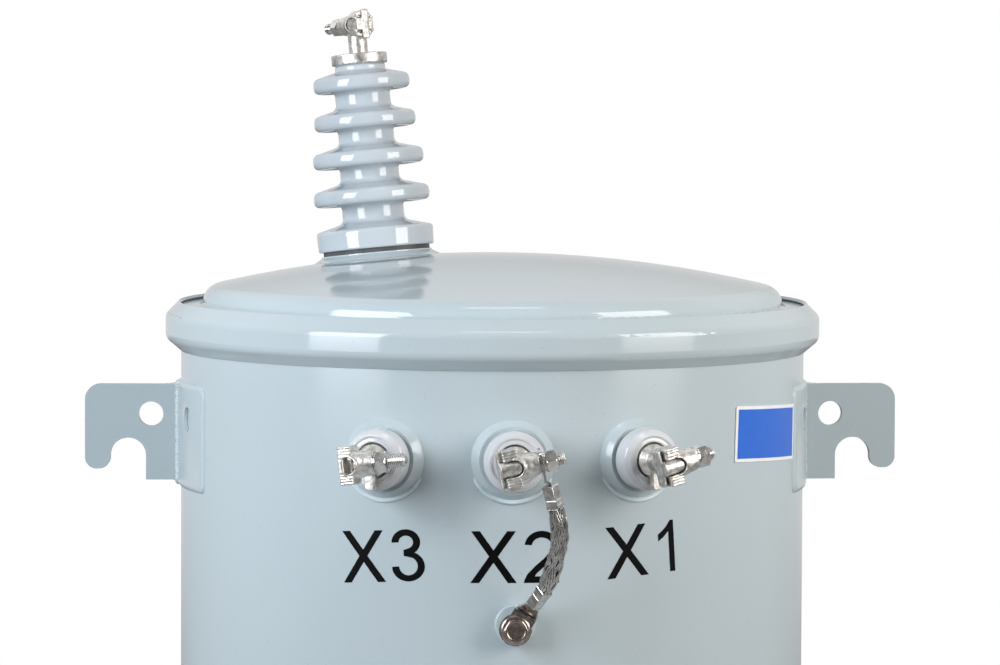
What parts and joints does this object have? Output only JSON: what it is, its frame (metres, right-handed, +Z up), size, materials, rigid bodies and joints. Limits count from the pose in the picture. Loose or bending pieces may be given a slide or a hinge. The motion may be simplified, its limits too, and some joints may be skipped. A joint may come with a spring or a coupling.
{
  "type": "pole mounted transformer",
  "caption": "Cylindrical pole-mounted transformer with domed clamped cover, tall ribbed high-voltage bushing, low-voltage clamp terminals, lifting lugs, pole brackets and braided ground strap.",
  "frame": {"origin": "on the tank's axis, at the plane its foot rests on", "axes": "+Z up along the tank's axis; -Y is the front, where the low-voltage terminals are; +Y is the side that hangs on the pole; +X is to the right as seen from the front, and the high-voltage bushing stands towards -X"},
  "size_m": [0.7326, 0.6924, 1.1055],
  "materials": {
    "tank_paint": "gloss light blue-grey enamel over steel, with a very fine orange peel",
    "cover_paint": "the same gloss enamel, on the pressed cover and its clamp ring",
    "lug_paint": "gloss enamel on plate, thinner at cut edges",
    "hv_glaze": "glossy blue-grey glaze",
    "lv_glaze": "glossy pale grey glaze",
    "gasket": "matte dark nitrile",
    "tinned_casting": "tinned cast bronze, warm silver, mottled",
    "plated_bolt": "plated steel, slightly warm",
    "stainless_bolt": "bright stainless steel",
    "strap_lug": "tin-plated copper, smooth",
    "braid": "tinned copper braid, with dark gaps",
    "label": "blue vinyl with a white border, left blank",
    "inside": "not seen"
  },
  "bodies": {
    "root": {"clamp_ring": "cover_paint", "closure_bolt": "plated_bolt", "closure_nut": "plated_bolt", "core_and_oil": "inside", "cover": "cover_paint", "cover_gasket": "gasket", "ground_bolt": "stainless_bolt", "ground_boss": "tank_paint", "hanger_bracket_lower": "lug_paint", "hanger_bracket_upper": "lug_paint", "hv_cap": "tinned_casting", "hv_clamp": "tinned_casting", "hv_clamp_bolt": "plated_bolt", "hv_clamp_nut": "plated_bolt", "hv_gasket": "gasket", "hv_porcelain": "hv_glaze", "label_plate": "label", "lifting_lug_left": "lug_paint", "lifting_lug_right": "lug_paint", "lug_pad_left": "lug_paint", "lug_pad_right": "lug_paint", "lv_clamp_bolt_left": "plated_bolt", "lv_clamp_bolt_middle": "plated_bolt", "lv_clamp_bolt_right": "plated_bolt", "lv_clamp_nut_left": "plated_bolt", "lv_clamp_nut_middle": "plated_bolt", "lv_clamp_nut_right": "plated_bolt", "lv_gasket_left": "gasket", "lv_gasket_middle": "gasket", "lv_gasket_right": "gasket", "lv_porcelain_left": "lv_glaze", "lv_porcelain_middle": "lv_glaze", "lv_porcelain_right": "lv_glaze", "lv_stud_left": "tinned_casting", "lv_stud_middle": "tinned_casting", "lv_stud_right": "tinned_casting", "strap_braid": "braid", "strap_lug_lower": "strap_lug", "strap_lug_upper": "strap_lug", "tank_bottom": "tank_paint", "tank_wall": "tank_paint"}
  },
  "joints": []
}
